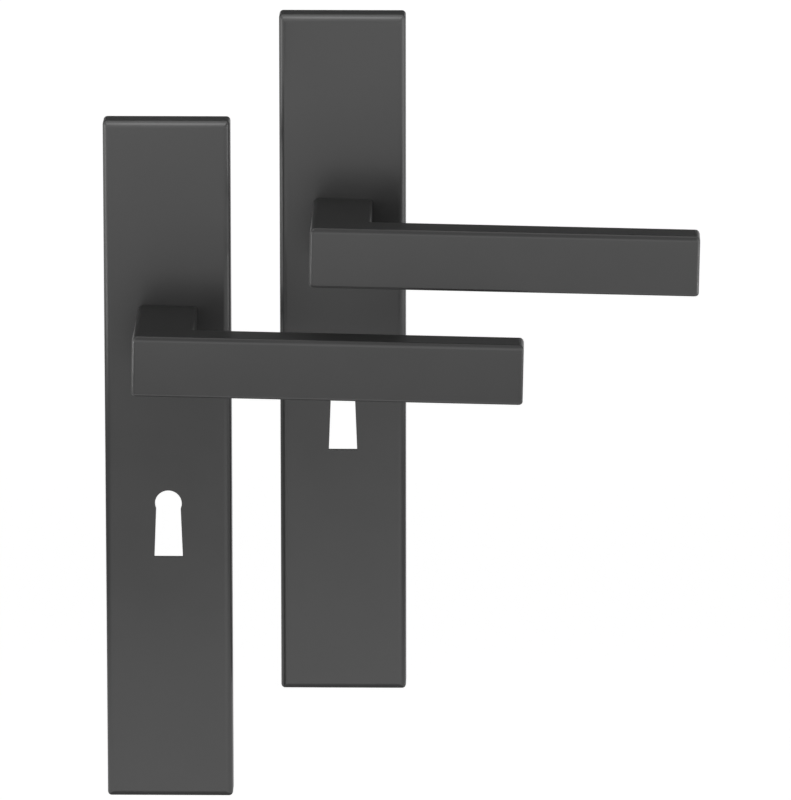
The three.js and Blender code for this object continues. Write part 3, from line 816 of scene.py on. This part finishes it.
@once
def thread_form():
    """Screw thread: a sheet rolled around the depth axis, whose radius falls and rises once a pitch."""
    tree, start, end = new_group(
        "Screw Thread", "GeometryNodeTree",
        [
            ("Foot", "NodeSocketVector", None),
            ("Crest Radius", "NodeSocketFloat", 0.002),
            ("Depth", "NodeSocketFloat", 0.0004),
            ("Pitch", "NodeSocketFloat", 0.0007),
            ("Length", "NodeSocketFloat", 0.02),
            ("Chamfer", "NodeSocketFloat", 0.0006),
            ("Around", "NodeSocketInt", 32),
            ("Rows", "NodeSocketInt", 240),
            ("Material", "NodeSocketMaterial", None),
        ],
        [("Geometry", "NodeSocketGeometry")])
    sums = NodeSums(tree)
    given = start.outputs
    sheet = add(tree, "GeometryNodeMeshGrid", {
        "Size X": 1.0, "Size Y": 1.0,
        "Vertices X": sums("ADD", given["Around"], 1), "Vertices Y": sums("ADD", given["Rows"], 1)})
    flat = add(tree, "ShaderNodeSeparateXYZ", {
        "Vector": tree.nodes.new("GeometryNodeInputPosition").outputs[0]})
    around = sums("ADD", flat.outputs["X"], 0.5)
    along = sums("MULTIPLY", sums("ADD", flat.outputs["Y"], 0.5), given["Length"])
    phase = sums("FRACT", sums("SUBTRACT", sums("DIVIDE", along, given["Pitch"]), around))
    ridge = sums("ABSOLUTE", sums("SUBTRACT", sums("MULTIPLY", phase, 2.0), 1.0))
    slope = sums("MULTIPLY", ridge, 1 + 2 * THREAD_OVERSHOOT_SHARE)
    groove = sums("SUBTRACT", slope, THREAD_OVERSHOOT_SHARE, clamp=True)
    threaded = sums("SUBTRACT", given["Crest Radius"], sums("MULTIPLY", groove, given["Depth"]))
    to_end = sums("SUBTRACT", given["Length"], along)
    cone = sums("ADD", sums("SUBTRACT", given["Crest Radius"], given["Chamfer"]), to_end)
    radius = sums("MINIMUM", threaded, cone)
    turn = sums("MULTIPLY", around, 2 * math.pi)
    place = add(tree, "ShaderNodeCombineXYZ", {
        "X": sums("MULTIPLY", radius, sums("COSINE", turn)), "Y": along,
        "Z": sums("MULTIPLY", radius, sums("SINE", turn))})
    footed = add(
        tree, "ShaderNodeVectorMath", {0: place.outputs["Vector"], 1: given["Foot"]}, operation="ADD")
    rolled = add(tree, "GeometryNodeSetPosition", {
        "Geometry": sheet.outputs[0], "Position": footed.outputs["Vector"]})
    joined = add(tree, "GeometryNodeMergeByDistance", {
        "Geometry": rolled.outputs[0], "Distance": THREAD_MERGE_DISTANCE})
    return finish_form(tree, end, joined.outputs[0], given["Material"])


def threaded_rod(name, sizes, foot, crest_radius, length_along, chamfer, material):
    """Closed rod with a thread, for joining to a bolt or cutting out of a sleeve."""
    made = grown(
        name, thread_form(), Foot=foot, Crest_Radius=crest_radius, Depth=sizes.thread_depth,
        Pitch=sizes.thread_pitch, Length=length_along, Chamfer=chamfer,
        Rows=round(THREAD_ROWS * length_along / sizes.thread_pitch), Material=material)
    mesh = bmesh.new()
    mesh.from_mesh(made.data)
    rims = [edge for edge in mesh.edges if edge.is_boundary]
    bmesh.ops.holes_fill(mesh, edges=rims, sides=0)
    bmesh.ops.recalc_face_normals(mesh, faces=mesh.faces)
    mesh.to_mesh(made.data)
    mesh.free()
    return made


# Pieces

class PieceOperator(bpy.types.Operator):
    """Base of the operators that build the pieces"""

    bl_options = {"REGISTER", "UNDO"}

    def execute(self, context):
        for side in SIDES:
            self.build(context.scene.handle_sizes, side)
        return {"FINISHED"}


class HANDLE_OT_cover_plates(PieceOperator):
    """Hollow cover plates with rounded front edges, a keyhole, stops and a spring post"""

    bl_idname = "handle.cover_plates"
    bl_label = "Cover Plates"

    def build(self, sizes, side):
        low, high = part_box(f"{side}_cover_plate")
        axis = spindle_axis(side)
        low, high = low - axis, high - axis
        corners = rectangle(high.x, low.z, high.z, sizes.plate_corner_round)
        shell = prism(
            f"{side}_cover", lambda inset: outline(corners, inset, sizes.plate_front_corner_round),
            low.y, high.y, sizes.plate_edge_round, sizes.plate_rim_round)
        wall = sizes.plate_wall
        hollow = rectangle(high.x - wall, low.z + wall, high.z - wall, sizes.cavity_corner_round)
        cavity = prism(
            "cavity", lambda inset: outline(hollow, inset), low.y + wall, high.y,
            sizes.cavity_floor_round, -sizes.plate_rim_round)
        ease = sizes.hole_edge_round
        key = prism("key", lambda inset: keyhole(sizes, -inset), low.y, low.y + wall, -ease, -ease)
        reach = sizes.bearing_hole_radius
        bearing = turned("bearing", [
            (0, low.y - CUT_OVERRUN, 0),
            (reach + ease, low.y - CUT_OVERRUN, 0),
            (reach + ease, low.y, 0),
            (reach, low.y + ease, 0),
            (reach, low.y + wall + CUT_OVERRUN, 0),
            (0, low.y + wall + CUT_OVERRUN, 0),
        ])
        combined(shell, "DIFFERENCE", cavity)
        combined(shell, "UNION", self.core(sizes, side))
        combined(shell, "DIFFERENCE", key, bearing, *self.nib_grooves(sizes, side))
        coated(seated(shell, side), graphite_coat(), "graphite_coat", f"{side}_cover_plate")
        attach(shell, "plates")

    def core(self, sizes, side):
        """What is cast inside the hollow: the bush's seat, the two stops and the spring's post."""
        core = copy_of(f"{side}_cover_plate", "core")
        core.data.transform(Matrix.Translation(-spindle_axis(side)))
        low, high = (Vector(core.bound_box[0]), Vector(core.bound_box[6]))
        wall = sizes.plate_wall
        inset = wall + sizes.hole_edge_round
        inside = box(
            "inside", (low.x + inset, low.y + wall / 2, low.z + inset), (high.x - inset, 0, high.z - inset))
        return eased(combined(core, "INTERSECT", inside), sizes.small_edge_round)

    def nib_grooves(self, sizes, side):
        """Grooves in the long walls that the base plate's nibs snap into."""
        axis = spindle_axis(side)
        low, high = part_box(f"{side}_base_plate")
        inner_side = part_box(f"{side}_cover_plate")[1].x - axis.x - sizes.plate_wall
        reach = inner_side + sizes.nib_hold + sizes.fit_gap
        front = low.y - axis.y + sizes.nib_inset - sizes.fit_gap
        back = front + sizes.nib_width + 2 * sizes.fit_gap
        half = sizes.nib_length / 2 + sizes.fit_gap
        heights = [low.z - axis.z + place * (high.z - low.z) for place in NIB_SHARES]
        return [box("groove", (-reach, front, z - half), (reach, back, z + half)) for z in heights]


class HANDLE_OT_levers(PieceOperator):
    """Levers: square neck, flat grip and turned journal with its groove, flats and square socket"""

    bl_idname = "handle.levers"
    bl_label = "Levers"

    def build(self, sizes, side):
        grip_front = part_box(f"{side}_lever")[0].y - spindle_axis(side).y
        grip_back = grip_front + sizes.grip_thickness
        plate_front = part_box(f"{side}_cover_plate")[0].y - spindle_axis(side).y
        shoulder = plate_front - sizes.neck_gap
        corner = sizes.lever_corner_round
        neck = sizes.neck_half
        reach = sizes.grip_reach
        half = sizes.grip_height / 2
        ease = sizes.lever_edge_round
        beyond = shoulder + 2 * ease
        rear = [
            (-neck - ease, grip_front - ease, 0),
            (reach, grip_front - ease, 0),
            (reach, grip_back, corner),
            (neck, grip_back, sizes.lever_inner_round),
            (neck, beyond, 0),
            (-neck - ease, beyond, 0),
        ]
        front = [
            (-neck, grip_front, corner),
            (reach, grip_front, corner),
            (reach, beyond + sizes.lever_top_round, 0),
            (-neck, beyond + sizes.lever_top_round, 0),
        ]
        casting = prism(
            f"{side}_lever_casting", lambda inset: outline(rear, inset), -half, half, ease, ease, upwards)
        front_form = prism(
            "front form", lambda inset: outline(front, inset), -half, half,
            ease, sizes.lever_top_round, upwards)
        behind = box("behind", (-2 * neck, shoulder, -2 * half), (2 * neck, beyond + CUT_OVERRUN, 2 * half))
        combined(casting, "INTERSECT", front_form)
        combined(casting, "DIFFERENCE", behind)
        journal = self.journal(sizes, shoulder)
        combined(casting, "UNION", journal)
        end = -sizes.journal_door_room
        socket = box(
            "socket",
            (-sizes.socket_half, end - sizes.socket_depth, -sizes.socket_half),
            (sizes.socket_half, end + CUT_OVERRUN, sizes.socket_half))
        hole = turned("hole", [
            (0, -sizes.grip_height, 0),
            (sizes.screw_hole_radius, -sizes.grip_height, 0),
            (sizes.screw_hole_radius, 0, 0),
            (0, 0, 0),
        ])
        screw_place = Matrix.Translation((0, shoulder - sizes.screw_inset, 0))
        hole.data.transform(screw_place @ Matrix.Rotation(math.pi / 2, 4, "X"))
        combined(casting, "DIFFERENCE", socket, hole)
        coated(seated(casting, side, sizes.rest_droop), graphite_coat(), "graphite_coat", f"{side}_lever")
        self.bare_journal(casting, side, spindle_axis(side).y + shoulder)
        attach(casting, f"{side}_handle")

    def bare_journal(self, casting, side, shoulder):
        """Leaves what is behind the shoulder as turned metal, without the coat."""
        casting.data.materials.append(machined_zinc(side))
        for face in casting.data.polygons:
            if face.center.y > shoulder + MERGE_DISTANCE:
                face.material_index = 1

    def journal(self, sizes, shoulder):
        """Turned journal with the retaining ring's groove and two flats."""
        washer_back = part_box("left_thrust_washer")[1].y
        end = -sizes.journal_door_room
        chamfer = sizes.journal_chamfer
        radius = sizes.journal_radius
        profile = [
            (0, shoulder - sizes.journal_sink, 0),
            (radius, shoulder - sizes.journal_sink, 0),
            (radius, washer_back, 0),
            (sizes.groove_radius, washer_back, 0),
            (sizes.groove_radius, end - sizes.journal_lip, 0),
            (radius, end - sizes.journal_lip, 0),
            (radius, end - chamfer, 0),
            (radius - chamfer, end, 0),
            (0, end, 0),
        ]
        journal = turned("journal", profile)
        flange_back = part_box("left_bearing_bush")[1].y
        cutters = []
        for sign in (-1, 1):
            near = sign * (radius - sizes.flat_depth)
            far = sign * (radius + CUT_OVERRUN)
            low = (min(near, far), flange_back, -radius)
            high = (max(near, far), end + CUT_OVERRUN, radius)
            cutters.append(box("flat", low, high))
        return combined(journal, "DIFFERENCE", *cutters)


class HANDLE_OT_base_plates(PieceOperator):
    """Ribbed nylon base plates"""

    bl_idname = "handle.base_plates"
    bl_label = "Base Plates"

    def build(self, sizes, side):
        base = eased(copy_of(f"{side}_base_plate", f"{side}_base"), sizes.small_edge_round)
        coated(base, black_nylon(), "black_nylon", f"{side}_base_plate")
        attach(base, "plates")


class HANDLE_OT_bearings(PieceOperator):
    """Bearing bushes, spring drivers, thrust washers, retaining rings and set screws"""

    bl_idname = "handle.bearings"
    bl_label = "Bearings"

    def build(self, sizes, side):
        handle = f"{side}_handle"
        for node, name, finish, body, slot in (
            ("bearing_bush", "bush", white_acetal, "plates", "white_acetal"),
            ("spring_driver", "driver", zinc_plate, handle, "zinc_plate"),
            ("thrust_washer", "washer", zinc_plate, handle, "zinc_plate"),
            ("retaining_ring", "ring", spring_steel, handle, "spring_steel"),
            ("set_screw", "screw", black_oxide, handle, "black_oxide"),
        ):
            made = eased(copy_of(f"{side}_{node}", f"{side}_{name}"), sizes.small_edge_round)
            coated(made, finish(), slot, f"{side}_{node}")
            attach(made, body)


class HANDLE_OT_return_springs(PieceOperator):
    """Torsion springs between the cover's post and the driver's tab"""

    bl_idname = "handle.return_springs"
    bl_label = "Return Springs"

    def build(self, sizes, side):
        wire = sizes.spring_wire / 2
        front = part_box(f"{side}_return_spring")[0].y + wire
        axis = spindle_axis(side)
        advance = (sizes.spring_wire + sizes.spring_gap) * sizes.spring_turns
        corner = math.hypot(sizes.tab_half_width, sizes.tab_reach)
        leg_turn = math.acos((sizes.spring_radius + wire + sizes.fit_gap) / corner)
        moving = sizes.rest_droop + math.atan2(sizes.tab_half_width, sizes.tab_reach) - leg_turn
        fixed = moving - 2 * math.pi * sizes.spring_turns
        spring = grown(
            f"{side}_spring", spring_form(), Centre=(axis.x, front, axis.z),
            Coil_Radius=sizes.spring_radius, Wire_Radius=wire, Fixed_Angle=fixed, Moving_Angle=moving,
            Advance=advance, Leg=sizes.spring_leg, Material=spring_steel())
        coated(spring, spring_steel(), "spring_steel", f"{side}_return_spring")
        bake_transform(spring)


class HANDLE_OT_spindle(bpy.types.Operator):
    """Drawn square spindle, held in the left lever"""

    bl_idname = "handle.spindle"
    bl_label = "Spindle"
    bl_options = {"REGISTER", "UNDO"}

    def execute(self, context):
        spindle = eased(copy_of("square_spindle", "spindle"), context.scene.handle_sizes.spindle_chamfer)
        coated(spindle, bright_steel(), "spindle_steel", "square_spindle")
        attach(spindle, "left_handle")
        return {"FINISHED"}


class HANDLE_OT_fixings(bpy.types.Operator):
    """Threaded sleeves in the left base plate and slotted bolts in the right one"""

    bl_idname = "handle.fixings"
    bl_label = "Fixings"
    bl_options = {"REGISTER", "UNDO"}

    def execute(self, context):
        sizes = context.scene.handle_sizes
        for place in ("upper", "lower"):
            self.bolt(sizes, f"right_{place}_bolt")
            self.sleeve(sizes, f"left_{place}_sleeve")
        return {"FINISHED"}

    def bolt(self, sizes, node):
        """Cuts the plain end off a bolt and joins a threaded one to it."""
        low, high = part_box(node)
        bolt = eased(copy_of(node, node.replace("_bolt", "_screw")), sizes.small_edge_round)
        start = high.y - sizes.thread_length
        plain_end = box("plain end", (low.x, start, low.z), (high.x, high.y + CUT_OVERRUN, high.z))
        foot = ((low.x + high.x) / 2, start - sizes.thread_pitch, (low.z + high.z) / 2)
        thread = threaded_rod(
            "thread", sizes, foot, sizes.bolt_radius - MERGE_DISTANCE,
            sizes.thread_length + sizes.thread_pitch, sizes.thread_chamfer, zinc_plate())
        combined(bolt, "DIFFERENCE", plain_end)
        combined(bolt, "UNION", thread)
        coated(bolt, zinc_plate(), "zinc_plate", node)
        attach(bolt, "plates")

    def sleeve(self, sizes, node):
        """Cuts a thread into the far end of a sleeve."""
        low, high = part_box(node)
        sleeve = eased(copy_of(node, node.replace("_sleeve", "_threaded_sleeve")), sizes.small_edge_round)
        foot = ((low.x + high.x) / 2, high.y - sizes.sleeve_thread_length, (low.z + high.z) / 2)
        thread = threaded_rod(
            "thread", sizes, foot, sizes.sleeve_bore_radius + sizes.thread_depth,
            sizes.sleeve_thread_length + CUT_OVERRUN, 0.0, zinc_plate())
        combined(sleeve, "DIFFERENCE", thread)
        coated(sleeve, zinc_plate(), "zinc_plate", node)
        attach(sleeve, "plates")


class HANDLE_OT_stage(bpy.types.Operator):
    """Camera, pale floor, white backdrop, soft lamps, light cards and dark nets"""

    bl_idname = "handle.stage"
    bl_label = "Stage"
    bl_options = {"REGISTER", "UNDO"}

    def execute(self, context):
        stage = context.scene.handle_stage
        self.camera(context.scene, stage)
        self.floor(stage)
        self.backdrop(context.scene, stage)
        for lamp in LAMPS:
            self.lamp(*lamp)
        for net in NETS:
            self.net(*net)
        context.scene.view_settings.view_transform = "Standard"
        return {"FINISHED"}

    def camera(self, scene, stage):
        """Stands the camera where the photograph was taken from."""
        data = bpy.data.cameras.new("camera")
        data.sensor_width = SENSOR_WIDTH
        data.lens = stage.focal_pixels * SENSOR_WIDTH / max(stage.image_width, stage.image_height)
        data.clip_end = FARTHEST_SEEN
        made = in_scene("camera", data)
        looking = (
            Matrix.Rotation(stage.camera_lean, 3, "Y")
            @ Matrix.Rotation(stage.camera_pitch, 3, "X")
            @ Matrix.Rotation(stage.camera_turn, 3, "Z"))
        level = Matrix.Rotation(math.pi / 2, 3, "X")
        facing = (looking.transposed() @ level).to_4x4()
        made.matrix_world = Matrix.Translation(stage.camera_place) @ facing
        scene.camera = made

    def seen(self, tree):
        """One on rays from the camera, in reflections and through glass, and nought on others."""
        sums = NodeSums(tree)
        path = tree.nodes.new("ShaderNodeLightPath").outputs
        through = sums("MAXIMUM", path["Is Glossy Ray"], path["Is Transmission Ray"])
        return sums("MAXIMUM", path["Is Camera Ray"], through)

    def flat_face(self, name, corners):
        """A single face through four corners."""
        mesh = bmesh.new()
        mesh.faces.new([mesh.verts.new(corner) for corner in corners])
        return shape_of(name, mesh)

    def floor(self, stage):
        """Pale floor well below the handles, which can be looked through from underneath."""
        half = stage.floor_half
        height = CAD_BOX[0].z - stage.floor_drop
        made = self.flat_face("floor", [
            (-half, -half, height), (half, -half, height), (half, half, height), (-half, half, height)])
        material, tree, shader = new_finish(
            "pale_floor", Metallic=0.0, Base_Color=(FLOOR_WHITE, FLOOR_WHITE, FLOOR_WHITE, 1.0),
            Roughness=FLOOR_ROUGHNESS, Specular_IOR_Level=0.0, Emission_Color=WHITE)
        rest = FLOOR_GLOW - FLOOR_WHITE * stage.fill_light
        sums = NodeSums(tree)
        fill(tree, shader.inputs["Emission Strength"], sums("MULTIPLY", self.seen(tree), rest))
        below = tree.nodes.new("ShaderNodeNewGeometry").outputs["Backfacing"]
        fill(tree, shader.inputs["Alpha"], sums("SUBTRACT", 1.0, below))
        made.data.materials.append(material)

    def backdrop(self, scene, stage):
        """White backdrop all round."""
        world = bpy.data.worlds.new("studio")
        world.use_nodes = True
        tree = world.node_tree
        background = tree.nodes["Background"]
        background.inputs["Color"].default_value = WHITE
        sums = NodeSums(tree)
        dimmed = sums("MULTIPLY", sums("SUBTRACT", 1.0, self.seen(tree)), 1.0 - stage.fill_light)
        fill(tree, background.inputs["Strength"], sums("SUBTRACT", 1.0, dimmed))
        scene.world = world

    def lamp(self, name, place, aim, width, height, glow, spread_angle):
        """Soft lamp or light card of an even glow that faces its aim."""
        data = bpy.data.lights.new(name, "AREA")
        data.shape = "RECTANGLE"
        data.size = width
        data.size_y = height
        data.energy = glow * math.pi * width * height
        data.spread = math.radians(spread_angle)
        made = in_scene(name, data)
        made.location = place
        made.rotation_mode = "QUATERNION"
        made.rotation_quaternion = (Vector(aim) - Vector(place)).to_track_quat("-Z", "Y")
        made.visible_camera = False

    def net(self, name, low, high, held_back):
        """Thin dark net around the handles, which takes some of the white out of the reflections."""
        corners = [low, (high[0], low[1], low[2]), high, (low[0], high[1], high[2])]
        if low[0] == high[0]:
            corners = [low, (low[0], high[1], low[2]), high, (low[0], low[1], high[2])]
        made = self.flat_face(name, corners)
        made.data.materials.append(studio_net(held_back))
        made.visible_camera = False


# Name, place, aim, width, height, glow and spread in degrees of each lamp and light card
LAMPS = (
    ("left_top_lamp", (0.0, -0.020, 0.105), (0.0, -0.008, 0.068), 0.045, 0.025, 0.22, 64),
    ("right_top_lamp", (0.056, 0.002, 0.1355), (0.056, 0.014, 0.099), 0.045, 0.025, 0.22, 64),
    ("left_lamp", (-0.60, -0.04, -0.01), (0.0, -0.02, 0.05), 0.14, 0.22, 2.6, 180),
    ("right_lamp", (0.70, -0.03, 0.00), (0.1, -0.02, 0.05), 0.16, 0.22, 2.0, 180),
    ("left_end_lamp", (-0.13, -0.0485, -0.016), (0.0, -0.0485, 0.012), 0.02, 0.02, 1.0, 60),
    ("right_end_lamp", (0.29, -0.035, -0.022), (0.14, -0.035, 0.012), 0.03, 0.05, 0.08, 20),
    ("left_card", (0.0212, -0.0046, -0.042), (0.060, -0.0046, -0.042), 0.009, 0.222, 0.6, 180),
    ("right_card", (0.0460, -0.0155, 0.0305), (0.0, -0.0155, 0.0305), 0.034, 0.019, 0.3, 100),
    ("grip_card", (0.056, -0.0418, -0.0011), (0.056, 0.0, -0.0011), 0.046, 0.0195, 0.45, 180),
)

# Name, low and high corner of each net, and the share of the light that it holds back
NETS = (
    ("left_net", (-0.25, -0.35, -0.178), (0.025, -0.35, -0.072), 0.66),
    ("right_net", (0.025, -0.35, -0.148), (0.40, -0.35, -0.046), 0.55),
    ("left_side_net", (-0.25, -0.35, -0.170), (-0.25, 0.30, -0.055), 0.8),
    ("right_side_net", (0.40, -0.35, -0.200), (0.40, 0.30, -0.085), 0.8),
    ("left_upper_net", (-0.08, -0.16, 0.0725), (0.03, -0.04, 0.0725), 0.5),
    ("right_upper_net", (0.03, -0.16, 0.103), (0.22, -0.01, 0.103), 0.5),
    ("rear_net", (-1.30, 1.00, 0.13), (1.40, 1.00, 0.95), 0.96),
    ("low_net", (-0.15, -0.12, -0.26), (0.22, 0.30, -0.26), 0.6),
)

# Share of the light that the floor throws back, its roughness, and how bright the camera sees it
FLOOR_WHITE = 0.8
FLOOR_ROUGHNESS = 0.9
FLOOR_GLOW = 1.05

# Width of the camera's sensor in millimetres, and the distance to which it sees in metres
SENSOR_WIDTH = 36.0
FARTHEST_SEEN = 200.0

# Operators in the order in which they build the set
OPERATORS = (
    HANDLE_OT_stage,
    HANDLE_OT_cover_plates,
    HANDLE_OT_levers,
    HANDLE_OT_base_plates,
    HANDLE_OT_bearings,
    HANDLE_OT_return_springs,
    HANDLE_OT_spindle,
    HANDLE_OT_fixings,
)

SETTINGS = {
    "handle_sizes": HandleSizes,
    "handle_finishes": HandleFinishes,
    "handle_stage": StageSettings,
}


class HANDLE_PT_sidebar(bpy.types.Panel):
    """Buttons that build the handles, over their sizes, finishes and stage"""

    bl_idname = "HANDLE_PT_sidebar"
    bl_label = "Door Lever Handles"
    bl_space_type = "VIEW_3D"
    bl_region_type = "UI"
    bl_category = "Handle"

    def draw(self, context):
        for operator in OPERATORS:
            self.layout.operator(operator.bl_idname)
        for name, settings in SETTINGS.items():
            section = self.layout.box()
            section.label(text=settings.__doc__)
            for key in settings.__annotations__:
                section.prop(getattr(context.scene, name), key)


CLASSES = (*SETTINGS.values(), *OPERATORS, HANDLE_PT_sidebar)


def register():
    for item in CLASSES:
        bpy.utils.register_class(item)
    for name, settings in SETTINGS.items():
        setattr(bpy.types.Scene, name, bpy.props.PointerProperty(type=settings))


def unregister():
    for name in SETTINGS:
        delattr(bpy.types.Scene, name)
    for item in reversed(CLASSES):
        bpy.utils.unregister_class(item)


def main():
    register()
    for operator in OPERATORS:
        getattr(bpy.ops.handle, operator.bl_idname.split(".")[1])()


if __name__ == "__main__":
    main()
